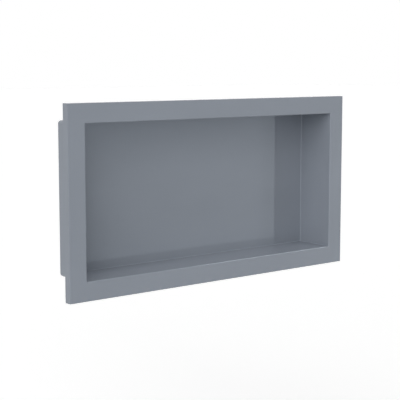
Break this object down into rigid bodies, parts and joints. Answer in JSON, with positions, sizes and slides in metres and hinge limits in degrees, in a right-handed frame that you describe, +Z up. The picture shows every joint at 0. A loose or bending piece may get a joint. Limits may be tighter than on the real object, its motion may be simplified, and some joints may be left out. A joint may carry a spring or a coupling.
{
  "type": "shower niche insert",
  "caption": "Recessed rectangular shower niche insert: a moulded grey shelf tub that sits in a wall cut-out, framed by a flat flange with a rim that rests on the wall.",
  "frame": {"origin": "middle of the wall's surface, where the lip of the flange's rim rests", "axes": "+X along the shelf, +Y into the wall, +Z up; the flange's front face looks along -Y"},
  "size_m": [0.61, 0.0792, 0.315],
  "materials": {
    "moulded_grey": "gloss"
  },
  "bodies": {
    "root": {"niche_insert": "moulded_grey"}
  },
  "joints": []
}
